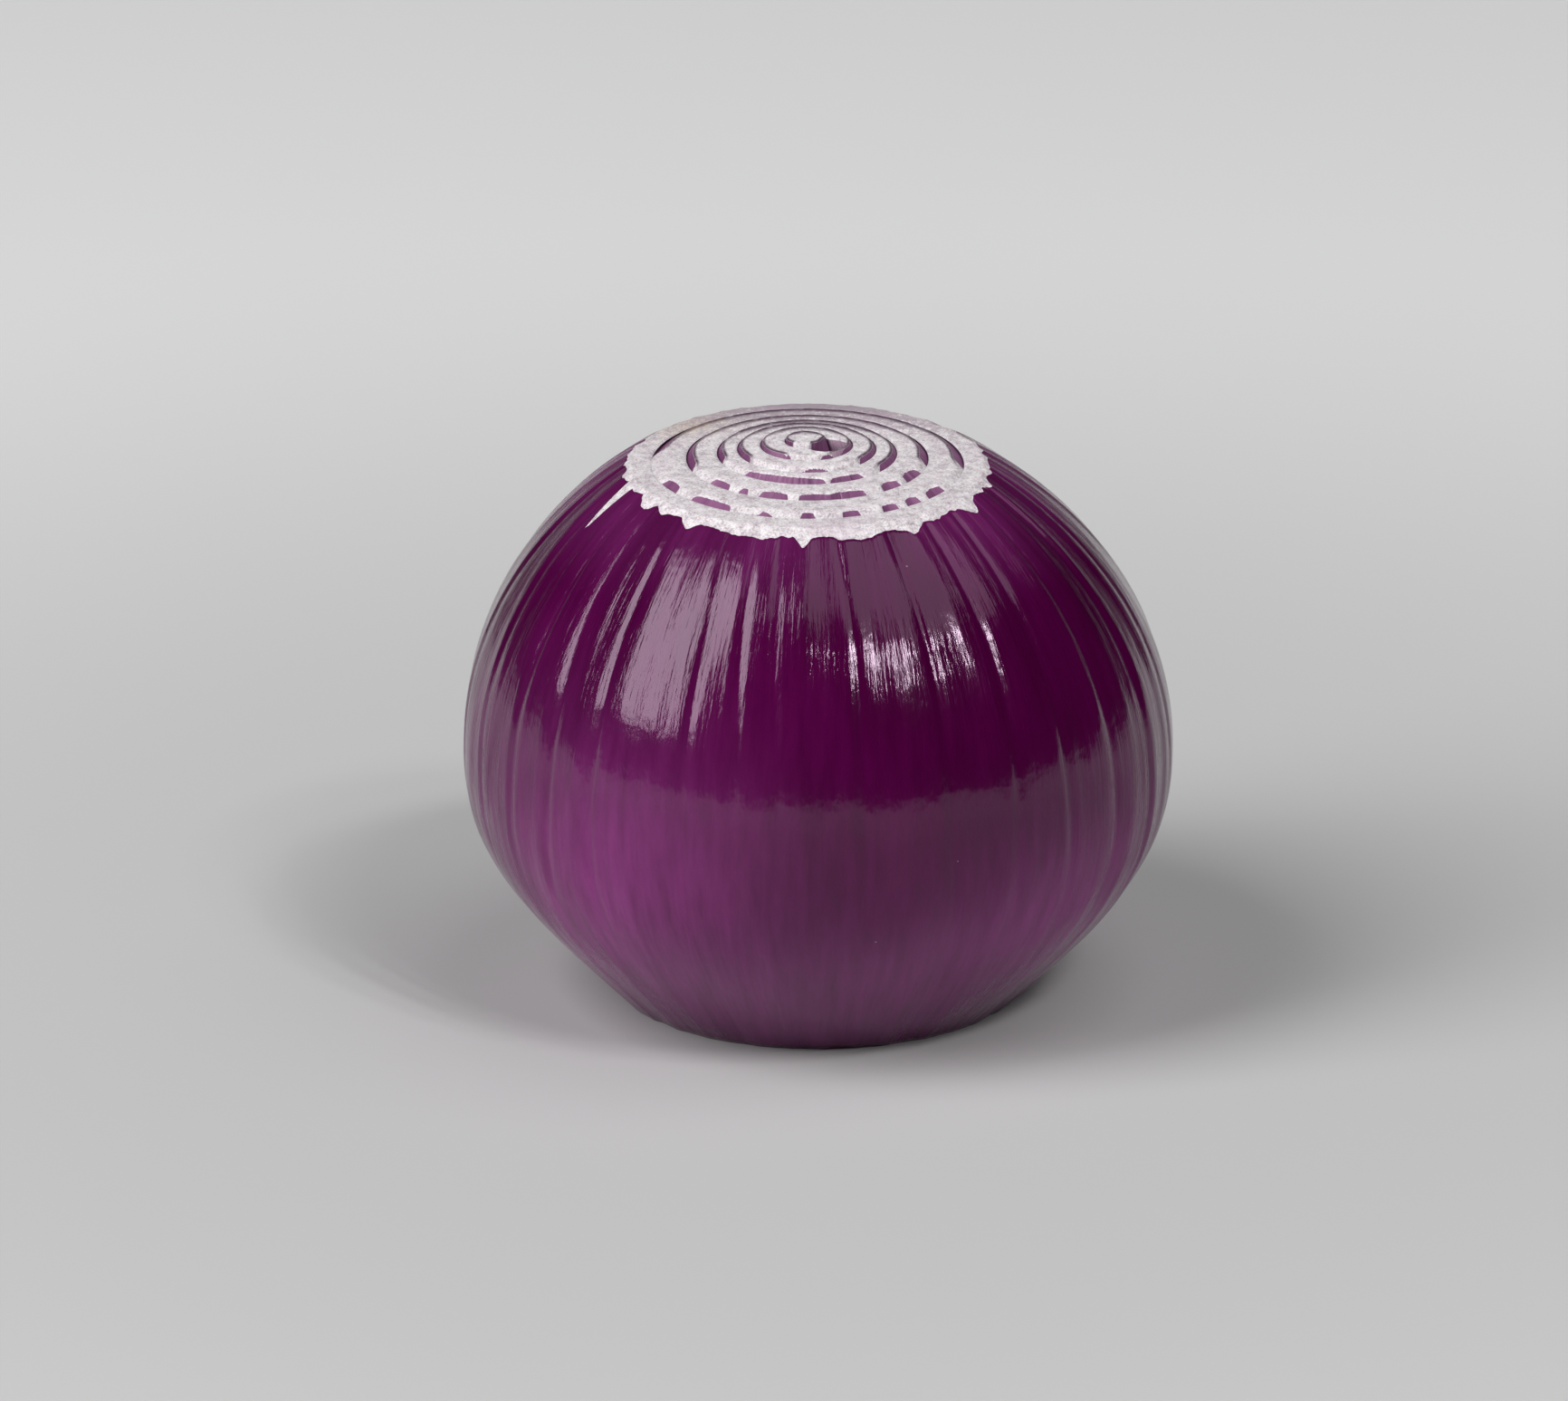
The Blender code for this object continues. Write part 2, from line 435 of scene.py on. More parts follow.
# %% The tree that grows a scale
# The bare edge, as a way along the outline: at least, as a share of the tears, and on inner scales.
LEAST_BARE, TORN_SHARE, BARE_INSIDE = 0.003, 0.86, 0.085
FINE_VEINS, FINE_DEPTH = 3, 0.18
UNEVEN, ROUNDED_CUT, LUMP_HEIGHT = 0.012, 0.35 * MM, 0.5 * MM


def scale_tree():
    """Wrap a grid into one scale."""
    bench, given = new_tree("grow_scale", NUMBERS, COUNTS, FINISHES)
    wall = given["Wall rows"]
    edge = wall + EDGE_ROWS + 1
    cut = edge + CUT_ROWS
    lining = cut + LINING_ROWS
    foot = lining + FOOT_ROWS
    sockets = {"Size X": 1.0, "Size Y": 1.0}
    sockets.update({"Vertices X": given["Round"] + 1, "Vertices Y": foot + 1})
    grid = bench.node("GeometryNodeMeshGrid", None, sockets)
    x, y, _ = bench.parts(bench.node("GeometryNodeInputPosition"))
    turn = x + 0.5
    walk = (y + 0.5) * foot
    row = walk.math("ROUND")

    def progress(first, last):
        share = (row - first) / (last - first)
        return share.math("MAXIMUM", 0.0).math("MINIMUM", 1.0)

    cosine = (turn * math.tau).math("COSINE")
    sine = (turn * math.tau).math("SINE")
    level_ring = bench.vector(cosine, sine, 0.0)
    late = row.math("GREATER_THAN", cut + 0.5)
    up_wall, up_edge = progress(0.0, wall), progress(wall + 1.0, edge)
    over_cut, down_lining = progress(edge, cut), progress(cut, lining)
    over_foot = progress(lining, foot)
    over_cut = over_cut * over_cut * (3 - 2 * over_cut)
    outer_top = knife(given, given["Outer share"], sine)
    inner_top = knife(given, given["Inner share"], sine)

    # The veins wander a little on their way up, so the noise that places them also reads height.
    rough_way = given["Outer seat"] + (outer_top - given["Outer seat"]) * up_wall * (1 - late)
    rough_height = outline_nodes(rough_way)[1]
    ring = bench.vector(cosine, sine, rough_height * 9)
    hollow, jut, vein = fluting(bench, given["Seed"], given["Ribs"], ring, turn)
    _, fine_jut, _ = fluting(bench, given["Seed"] + 7.7, given["Ribs"] * FINE_VEINS, ring, turn)
    slow_ring = bench.vector(cosine, sine, rough_height * 7)
    waves = bench.noise(slow_ring, 6.5, 1.0, given["Seed"] + 9) - 0.5
    front = (sine * -1).step(0.3, 0.95)
    torn = bare_edge(bench, given, turn, jut, level_ring, front)
    shrunk, arch, open_back = slits(bench, given, level_ring, turn)
    closed = 1 - open_back.math("MAXIMUM", arch.step(0.0, 0.25))
    bare = LEAST_BARE + given["Chips"] * torn * TORN_SHARE
    bare = bare + (1 - given["Chips"]) * closed * BARE_INSIDE

    # The outer wall: its way up stops at the skin's edge, and the bare edge goes on to the cut.
    climbed = (outer_top - bare - given["Outer seat"]) * up_wall + bare * up_edge
    outer_way = given["Outer seat"] + climbed * (1 - late)
    outer_radius, outer_height = outline_nodes(outer_way)
    fading = outer_way.step(-0.55, 0.15) * (1 - outer_way.step(0.75, 1.1) * 0.5)
    furrows = furrow_depth(turn, waves) * MM * fading
    near_neck = outer_way.step(-0.1, 0.9)
    at_rim = outer_way.step(0.35, 1.0)
    near_foot = (outer_way * -1).step(0.3, 1.0)
    at_belly = given["Belly rib depth"]
    rib_depth = at_belly + near_neck * (given["Neck rib depth"] - at_belly)
    rib_depth = rib_depth + near_foot * (given["Foot rib depth"] - at_belly)
    angle = given["Pocket angle"]
    pocket = (cosine * angle.math("COSINE") + sine * angle.math("SINE")).step(0.60, 0.98)
    peeled = SKIN_DEPTH * given["Chips"] * row.math("GREATER_THAN", wall + 0.5) * (1 - late)
    sunk = rib_depth * (hollow + FINE_DEPTH * (1 - fine_jut)) + given["Waves"] * (0.1 - waves)
    sunk = (sunk + furrows + peeled) * given["Chips"]
    parted = (given["Slit"] * shrunk + arch * MM + given["Pocket"] * pocket) * at_rim
    outer_radius = given["Outer share"] * outer_radius - (sunk + parted)

    # The inner wall goes straight down from the cut to its seat. The bud has none: it closes on the
    # axis.
    solid = given["Inner share"].math("LESS_THAN", 0.001)
    inner_way = inner_top + (given["Inner seat"] - inner_top) * down_lining
    inner_radius, inner_height = outline_nodes(inner_way)
    at_lip = inner_way.step(0.35, 1.0)
    set_back = TOUCH * (1 - solid) + given["Lining pocket"] * pocket * at_lip
    inner_radius = given["Inner share"] * inner_radius + set_back

    # A share of each wall gives every row its place in the section.
    from_outer = 1 - over_cut + over_foot
    radius = inner_radius + (outer_radius - inner_radius) * from_outer
    height = inner_height + (outer_height - inner_height) * from_outer
    tall_ring = bench.vector(cosine, sine, height * 22)
    radius = radius * (1 + UNEVEN * (bench.noise(tall_ring, 0.9, 1.0, 5.0) - 0.5))

    # The cut is a little rounded at its edges, and lumpy where the cells were torn.
    on_cut = over_cut * (1 - over_cut) * 4 * (1 - late)
    from_above = bench.vector(radius * cosine, radius * sine, given["Seed"])
    lumps = bench.noise(from_above, 900.0, 3.0, 1.0) - 0.5
    height = height + on_cut.math("MINIMUM", 0.35) * (ROUNDED_CUT + lumps * LUMP_HEIGHT)
    leaning = ((height - WIDEST_HEIGHT) / (CUT_HEIGHT - WIDEST_HEIGHT)).math("MAXIMUM", 0.0)
    place = bench.vector(radius * cosine + NECK_LEAN * leaning * leaning, radius * sine, height)

    # Each scale keeps a purple line along the outside of its cut, but where the front is torn. It
    # is wider at the back. The line is partly the skin's own purple edge and partly painted shade
    # of the open gap between scales, so it follows the open slits. The trimmed foot shows the same
    # lines as rings.
    from_wall = over_cut * (outer_radius - inner_radius) / MM
    on_face = row.math("GREATER_THAN", edge - 0.5) * (1 - late) * (1 - given["Chips"])
    line_width = 1 + 2.4 * sine.step(0.1, 0.8)
    rim_line_and_gap_shade = on_face * open_back * (1 - (from_wall / line_width).step(0.12, 0.42))
    at_foot = row.math("GREATER_THAN", lining + 0.5) * (1 - given["Chips"])
    rim_line_and_gap_shade = rim_line_and_gap_shade + at_foot * over_foot.step(0.80, 1.0) * 0.8

    # Faces: 0 is skin, 1 is cut flesh, 2 is lining. The walk is halfway between rows on a face.
    past_wall, past_cut = walk.math("GREATER_THAN", wall), walk.math("GREATER_THAN", cut)
    zone = past_wall + past_cut - walk.math("GREATER_THAN", lining)
    mesh = grid
    for label, domain, value in (
        ("zone", "FACE", zone),
        ("rim_line_and_gap_shade", "POINT", rim_line_and_gap_shade),
        ("vein", "POINT", vein),
    ):
        settings = {"data_type": "FLOAT", "domain": domain}
        sockets = {0: mesh, "Name": label, "Value": value}
        mesh = bench.node("GeometryNodeStoreNamedAttribute", settings, sockets)
    inside = solid * past_cut * walk.math("LESS_THAN", lining)
    mesh = bench.node("GeometryNodeDeleteGeometry", {"domain": "FACE"}, {0: mesh, 1: inside})
    mesh = bench.node("GeometryNodeSetPosition", None, {0: mesh, 2: place})
    mesh = bench.node("GeometryNodeMergeByDistance", None, {0: mesh, "Distance": WELD})
    mesh = bench.node("GeometryNodeSetShadeSmooth", None, {0: mesh})
    end_tree(bench, mesh, [given[name] for name in FINISHES])
    return bench.tree


grow_scale = scale_tree()
print("grow_scale has", len(grow_scale.nodes), "nodes")

# %% [markdown]
# ## Finishes
#
# The skin of a fresh scale is one layer of cells over moist flesh: deep purple, smooth and wet, so
# it mirrors windows sharply. Its colour runs in streaks from root to neck, because the pigment
# sits in long cells. A noise read on a direction round the axis and a squeezed height makes such
# streaks, with no texture map to unwrap.
#
# The cut flesh is nearly white and lets a little light in, which subsurface scattering gives.

# %% Common steps for a finish


def new_finish(name):
    finish = bpy.data.materials.new(name)
    finish.use_nodes = True
    finish.node_tree.nodes.clear()
    return finish, Bench(finish.node_tree)


def round_axis(bench):
    """Object coordinates, and the direction round the axis."""
    place = bench.node("ShaderNodeTexCoord", out=3)
    x, y, z = bench.parts(place)
    away = (x * x + y * y) ** 0.5 + 0.00001
    return place, x, y, z, x / away, y / away


def attribute(bench, name):
    return bench.node("ShaderNodeAttribute", {"attribute_name": name}, out=2)


def blot(x, z, at_x, at_z, wide, high):
    """A soft spot, 1 at its centre."""
    across, up = (x - at_x * MM) / (wide * MM), (z - at_z * MM) / (high * MM)
    return EULER ** ((across * across + up * up) * -1)


def finish_with(bench, sockets, height, strength, distance):
    """The one shader of a finish, with a height turned into bumps."""
    sockets_of_bump = {"Strength": strength, "Distance": distance, "Height": height}
    bump = bench.node("ShaderNodeBump", None, sockets_of_bump)
    shader = bench.node("ShaderNodeBsdfPrincipled", None, {**sockets, "Normal": bump})
    bench.node("ShaderNodeOutputMaterial", None, {"Surface": shader})


print("finish helpers ready")

# %% Skin


def make_skin(name, dark, light, pale, rough, seed):
    """Deep purple skin, a little uneven, with fine cells that run from root to neck."""
    finish, bench = new_finish(name)
    place, x, _, z, east, north = round_axis(bench)
    broad = bench.noise(bench.vector(east, north, z * 14), 3.0, 2.0, seed)
    streaks = bench.noise(bench.vector(east, north, z * 5), 30.0, 3.0, seed + 1)
    threads = bench.noise(bench.vector(east, north, z * 2.5), 95.0, 2.0, seed + 2)
    cells = bench.noise(bench.vector(east, north, z * 10), 170.0, 2.0, seed + 3)
    vein = attribute(bench, "vein")
    lightness = 0.42 + (broad - 0.5) * 1.3 + (streaks - 0.5) * 0.45 - vein**8 * 0.12
    colour = bench.mix(lightness.step(0.0, 1.0), dark, light)

    # The skin is painted paler lilac in patches. On the lower left, in front, on the right and
    # round the foot this is painted light: the floor's reflection and the left window's light. Just
    # under the cut it is a paler band.
    left = blot(x, z, -22.0, 19.0, 16.0, 16.0) * (0.80 + 1.2 * (broad - 0.5))
    low = (z * -1).step(-0.024, -0.004) * 0.25
    middle = blot(x, z, 4.0, 12.0, 18.0, 8.0) * 0.24
    right = blot(x, z, 27.0, 15.0, 14.0, 11.0) * 0.60
    near_rim = z.step(0.048, 0.057) * (0.18 + 0.8 * (broad - 0.4))
    pale_patches_and_painted_light = left + low + middle + right + near_rim
    pale_patches_and_painted_light = (pale_patches_and_painted_light * (1 + (streaks - 0.5) * 1.2)).math("MAXIMUM", 0.0)
    colour = bench.mix(pale_patches_and_painted_light.math("MINIMUM", 1.0), colour, pale)

    # Specks of dust, on a few of the cells of a fine pattern.
    fleck, spread = {"feature": "F1"}, {"Vector": place, "Scale": 260.0}
    dots = bench.node("ShaderNodeTexVoronoi", fleck, spread)
    _, pick, _ = bench.parts(bench.node("ShaderNodeTexVoronoi", fleck, spread, out=1))
    dust = (1 - dots.step(0.02, 0.05)) * pick.math("GREATER_THAN", 0.82)
    colour = bench.mix(dust * 0.5, colour, (0.55, 0.40, 0.50, 1))
    roughness = rough + (streaks - 0.5) * 0.08 + (cells - 0.5) * 0.06
    roughness = roughness + (broad - 0.5) * 0.10 + dust * 0.3
    dimples = bench.noise(place, 330.0, 2.0, seed + 4)
    dents = bench.noise(place, 120.0, 2.0, seed + 5)
    height = threads * 0.9 + streaks * 0.9 + cells * 0.35 + dimples * 1.7 + dents * 3.2
    height = height - vein**12 * 0.4 + dust * 0.4
    sockets = {"Base Color": colour, "Roughness": roughness, "IOR": 1.46}
    sockets["Specular Tint"] = (1.0, 0.78, 0.97, 1)
    finish_with(bench, sockets, height, 0.40, 0.00012)
    return finish


purple_skin = make_skin(
    "purple_skin",
    dark=(0.044, 0.0002, 0.025, 1),
    light=(0.088, 0.0003, 0.054, 1),
    pale=(0.260, 0.036, 0.205, 1),
    rough=0.125,
    seed=1.0,
)
inner_skin = make_skin(
    "inner_purple_skin",
    dark=(0.10, 0.012, 0.085, 1),
    light=(0.24, 0.055, 0.20, 1),
    pale=(0.40, 0.22, 0.34, 1),
    rough=0.30,
    seed=11.0,
)
print("skins:", purple_skin.name, inner_skin.name)

# %% Flesh and lining


def make_flesh():
    """The cut flesh: near white, grained with cells, darker towards the back and bruised there,
    with a purple line by the skin that is partly painted shade of the gaps between scales.
    """
    finish, bench = new_finish("onion_flesh")
    place, x, y, *_ = round_axis(bench)
    grain = bench.noise(place, 4200.0, 3.0, 1.0, 0.7)
    mottle = bench.noise(place, 1100.0, 3.0, 2.0)
    cloud = bench.noise(place, 130.0, 2.0, 3.0)
    tone = 0.60 + (mottle - 0.5) * 1.3 + (grain - 0.5) * 2.2 - y.step(0.002, 0.018) * 0.55
    colour = bench.mix(tone.step(0.0, 1.0), (0.42, 0.35, 0.39, 1), (0.93, 0.88, 0.90, 1))
    colour = bench.mix(cloud.step(0.50, 0.72) * 0.30, colour, (0.62, 0.47, 0.57, 1))
    # Painted shade: this dark purple line is partly the shadowed gap between scales and partly the
    # skin's own purple edge.
    line = attribute(bench, "rim_line_and_gap_shade") * (0.55 + 0.45 * mottle.step(0.3, 0.5))
    colour = bench.mix(line * 0.92, colour, (0.055, 0.012, 0.050, 1))
    near_middle = 1 - x.math("ABSOLUTE").step(0.005, 0.009)
    bruise = y.step(0.013, 0.016) * near_middle * mottle.step(0.3, 0.55)
    colour = bench.mix(bruise * 0.6, colour, (0.33, 0.27, 0.33, 1))
    yellow = blot(x, y, -14.5, 9.0, 4.5, 4.0) * mottle.step(0.35, 0.6)
    colour = bench.mix(yellow * 0.35, colour, (0.60, 0.46, 0.22, 1))
    roughness = 0.34 + (grain - 0.5) * 0.3
    height = grain * 0.6 + mottle * 0.8
    sockets = {"Base Color": colour, "Roughness": roughness, "IOR": 1.38}
    sockets.update({"Subsurface Weight": 0.25, "Subsurface Scale": 0.0012})
    sockets["Subsurface Radius"] = (1.0, 0.7, 0.8)
    finish_with(bench, sockets, height, 0.5, 0.00018)
    return finish


def make_lining():
    """The inside of a scale: a thin pale lilac film, ridged along the scale."""
    finish, bench = new_finish("lilac_lining")
    place, _, _, z, east, north = round_axis(bench)
    ridges = bench.noise(bench.vector(east, north, z * 3), 60.0, 3.0, 4.0)
    grain = bench.noise(place, 1500.0, 2.0, 5.0)
    colour = bench.mix(ridges.step(0.3, 0.7), (0.40, 0.22, 0.35, 1), (0.66, 0.50, 0.60, 1))
    sockets = {"Base Color": colour, "Roughness": 0.25 + grain * 0.2, "IOR": 1.40}
    finish_with(bench, sockets, ridges + grain * 0.3, 0.4, 0.00015)
    return finish


onion_flesh = make_flesh()
lilac_lining = make_lining()
print("flesh:", onion_flesh.name, lilac_lining.name)

# %% Root plate


def make_root_finish():
    """The trimmed stem: corky, cream to brown, with dark fibres."""
    finish, bench = new_finish("root_plate")
    place, *_ = round_axis(bench)
    fibre = bench.noise(place, 900.0, 4.0, 6.0, 0.7)
    patch = bench.noise(place, 260.0, 3.0, 7.0)
    colour = bench.mix(patch.step(0.3, 0.7), (0.34, 0.22, 0.12, 1), (0.66, 0.54, 0.36, 1))
    colour = bench.mix(fibre.step(0.55, 0.75) * 0.7, colour, (0.16, 0.09, 0.05, 1))
    sockets = {"Base Color": colour, "Roughness": 0.65 + (fibre - 0.5) * 0.4, "IOR": 1.45}
    finish_with(bench, sockets, fibre + patch * 0.5, 0.7, 0.0003)
    return finish


root_finish = make_root_finish()
print("root:", root_finish.name)

# %% [markdown]
# ## Turning a tree into a piece
#
# A modifier runs the tree on an empty mesh. Its inputs are set by identifier, then the evaluated
# result is copied into a plain mesh, and the object that carried the modifier is thrown away. What
# stays is an ordinary mesh with its place in its points, as the frame wants it.

# %% Grow, check and hand over


def grow(name, tree, values, sharp=50):
    """Run a tree and keep its result as a plain piece."""
    carrier = bpy.data.objects.new(name + "_carrier", bpy.data.meshes.new(name + "_seed"))
    bpy.context.scene.collection.objects.link(carrier)
    modifier = carrier.modifiers.new("grow", "NODES")
    modifier.node_group = tree
    for item in tree.interface.items_tree:
        if item.in_out == "INPUT" and item.name in values:
            modifier[item.identifier] = values[item.name]
    graph = bpy.context.evaluated_depsgraph_get()
    mesh = bpy.data.meshes.new_from_object(carrier.evaluated_get(graph), depsgraph=graph)
    mesh.name = name
    bpy.data.objects.remove(carrier)
    mesh.set_sharp_from_angle(angle=math.radians(sharp))
    piece = bpy.data.objects.new(name, mesh)
    bpy.context.scene.collection.objects.link(piece)
    return piece


def measure(piece):
    """Open edges, volume in millilitres and triangles.

    A closed piece that faces out has no open edge and a volume over 0.
    """
    mesh = piece.data
    mesh.calc_loop_triangles()
    points = np.empty(len(mesh.vertices) * 3, np.float32)
    mesh.vertices.foreach_get("co", points)
    corners = np.empty(len(mesh.loop_triangles) * 3, np.int32)
    mesh.loop_triangles.foreach_get("vertices", corners)
    faces = points.reshape(-1, 3)[corners.reshape(-1, 3)].astype(float)
    volume = np.linalg.det(faces).sum() / 6 * 1e6
    sides = np.empty(len(mesh.loops), np.int32)
    mesh.loops.foreach_get("edge_index", sides)
    uses = np.bincount(sides, minlength=len(mesh.edges))
    return int((uses != 2).sum()), round(float(volume), 2), len(mesh.loop_triangles)


def hand_over(piece, node):
    """The frame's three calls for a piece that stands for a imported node."""
    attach(piece, "root")
    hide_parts(node)
    print(piece.name, "open edges, ml, triangles:", *measure(piece))


# %% Grow the scales and the bud
PLATE_RIM, PLATE_CROWN, SCALES_AT_FOOT, GAP = 1.5 * MM, 6.0 * MM, 4, 0.3 * MM
SHARES = [1.0]
for thickness in THICKNESS.values():
    SHARES.append(SHARES[-1] - thickness / NECK_RADIUS)
PLATE_RADIUS = SHARES[SCALES_AT_FOOT] * FOOT_RADIUS - GAP


def plate_top(radius):
    """Height of the root plate's dome."""
    inside = min(radius / PLATE_RADIUS, 1.0)
    return PLATE_RIM + (PLATE_CROWN - PLATE_RIM) * (1 - inside * inside)


def seat_of(share, number):
    """Where a wall of one of the scales ends: at the foot, or above the dome."""
    if number <= SCALES_AT_FOOT:
        return -1.0
    return way_to(GAP, share, plate_top)


# Width of each slit in mm, and the angles between which it is open, round the back.
SLITS = (
    (0.0, 0, 0), (0.60, -16, 183), (0.55, -20, 208), (0.42, -44, 208),
    (0.42, -47, 222), (0.40, -62, 250), (0.35, -80, 235),
)

for number, node in enumerate([*THICKNESS, "bud"]):
    outermost = number == 0
    inner_share = 0.0 if node == "bud" else SHARES[number + 1]
    values = {
        "Outer share": SHARES[number],
        "Inner share": inner_share,
        "Outer seat": seat_of(SHARES[number], number + 1),
        "Inner seat": seat_of(inner_share, number + 1),
        "Place": float(number),
        "Seed": 3.0 + 11.0 * number,
        "Ribs": 36.0 if outermost else 24.0,
        "Neck rib depth": 0.40 * MM,
        "Belly rib depth": 0.21 * MM,
        "Foot rib depth": 0.18 * MM,
        "Waves": 0.60 * MM,
        "Chips": 1.0 if outermost else 0.0,
        "Slit": SLITS[number][0] * MM,
        "Open from": float(SLITS[number][1]),
        "Open to": float(SLITS[number][2]),
        "Pocket": (0.4 if node == "bud" else 0.0) * MM,
        "Lining pocket": (2.3 if node == "sixth_scale" else 0.0) * MM,
        "Pocket angle": math.radians(-36),
        "Round": 600 if outermost else 400,
        "Wall rows": 108 if outermost else 40,
        "Skin": purple_skin if outermost else inner_skin,
        "Flesh": onion_flesh,
        "Lining": lilac_lining,
    }
    piece = grow("grown_" + node, grow_scale, values)
    hand_over(piece, node)

# %% [markdown]
# ## The root plate
#
# The root plate is a short stem, flat below where it was trimmed and domed above, where the scales
# sit on it. Its underside is full of cut roots, in no strict order but evenly apart. Points
# scattered with a least distance and a small stub on each of them give that.

# %% A tree for the root plate


PLATE_NUMBERS = ("Radius", "Rim", "Crown", "Sunk", "Root radius", "Root spacing")
PLATE_ROUND, UNDER_ROWS, SIDE_ROWS, DOME_ROWS = 144, 20, 6, 20
NARROWEST_ROOT, WIDEST_ROOT = 0.6, 1.35


def plate_tree():
    """A disc with a dome on top and stubs of roots underneath."""
    bench, given = new_tree("grow_root_plate", PLATE_NUMBERS, (), ("Cork",))
    rows = UNDER_ROWS + SIDE_ROWS + DOME_ROWS
    sockets = {"Size X": 1.0, "Size Y": 1.0, "Vertices X": PLATE_ROUND + 1, "Vertices Y": rows + 1}
    grid = bench.node("GeometryNodeMeshGrid", None, sockets)
    x, y, _ = bench.parts(bench.node("GeometryNodeInputPosition"))
    row = ((y + 0.5) * rows).math("ROUND")
    cosine, sine = ((x * math.tau).math(name) for name in ("COSINE", "SINE"))

    # The first rows cross the underside, the next climb the side, and the rest close the dome.
    below = (row / UNDER_ROWS).math("MINIMUM", 1.0)
    side = ((row - UNDER_ROWS) / SIDE_ROWS).math("MAXIMUM", 0.0).math("MINIMUM", 1.0)
    above = ((row - (UNDER_ROWS + SIDE_ROWS)) / DOME_ROWS).math("MAXIMUM", 0.0)
    radius = given["Radius"] * (below - above)
    dome = given["Crown"] - given["Rim"]
    level = bench.vector(cosine * radius, sine * radius, 0.0)
    worn = bench.noise(level, 700.0, 3.0, 1.0)
    sunk = given["Sunk"] * (0.4 + 0.9 * worn) * (1 - below.step(0.93, 1.0))
    height = sunk + (given["Rim"] - sunk) * side + dome * (1 - (1 - above) ** 2)
    wrapped = bench.vector(cosine * radius, sine * radius, height)
    mesh = bench.node("GeometryNodeSetPosition", None, {0: grid, 2: wrapped})
    mesh = bench.node("GeometryNodeMergeByDistance", None, {0: mesh, "Distance": WELD})

    # Cut roots: short stubs, scattered over the underside.
    _, _, facing = bench.parts(bench.node("GeometryNodeInputNormal"))
    px, py, pz = bench.parts(bench.node("GeometryNodeInputPosition"))
    widest = given["Radius"] - given["Root radius"] * 2
    inward = ((px * px + py * py) ** 0.5).math("LESS_THAN", widest)
    under = facing.math("LESS_THAN", -0.5) * inward * pz.math("LESS_THAN", 1.0 * MM)
    sockets = {"Mesh": mesh, "Selection": under, "Distance Min": given["Root spacing"]}
    sockets.update({"Density Max": 900000.0, "Seed": 5})
    scatter = {"distribute_method": "POISSON"}
    points = bench.node("GeometryNodeDistributePointsOnFaces", scatter, sockets)
    sockets = {"Vertices": 10, "Side Segments": 2, "Fill Segments": 2}
    sockets.update({"Radius": given["Root radius"], "Depth": given["Sunk"] * 1.6})
    stub = bench.node("GeometryNodeMeshCylinder", None, sockets)
    limits = {2: NARROWEST_ROOT, 3: WIDEST_ROOT, "Seed": 8}
    width = bench.node("FunctionNodeRandomValue", {"data_type": "FLOAT"}, limits, out=1)
    px, py, pz = bench.parts(bench.node("GeometryNodeInputPosition"))
    flat = bench.vector(px, py, given["Sunk"] * 0.8)
    points = bench.node("GeometryNodeSetPosition", None, {0: points, 2: flat})
    size = bench.vector(width, width, 1.0)
    sockets = {"Points": points, "Instance": stub, "Scale": size}
    stubs = bench.node("GeometryNodeInstanceOnPoints", None, sockets)
    stubs = bench.node("GeometryNodeRealizeInstances", None, {0: stubs})
    joined = bench.tree.nodes.new("GeometryNodeJoinGeometry")
    for part in (mesh, stubs):
        bench.tree.links.new(part.socket, joined.inputs[0])
    finished = bench.node("GeometryNodeSetShadeSmooth", None, {0: Wire(bench, joined.outputs[0])})
    end_tree(bench, finished, [given["Cork"]])
    return bench.tree


sizes = {
    "Radius": PLATE_RADIUS,
    "Rim": PLATE_RIM,
    "Crown": PLATE_CROWN,
    "Sunk": 0.5 * MM,
    "Root radius": 0.42 * MM,
    "Root spacing": 1.25 * MM,
    "Cork": root_finish,
}
plate = grow("grown_root_plate", plate_tree(), sizes, sharp=40)
hand_over(plate, "root_plate")

# %% [markdown]
# ## Floor, light and camera
#
# A wide pale floor and three soft lights: a tall window on the left, a smaller one with panes on
# the right, and a dim ceiling. The wet skin shows each of them as a highlight, so their places
# and shapes matter more than for a dull object.

# %% Floor


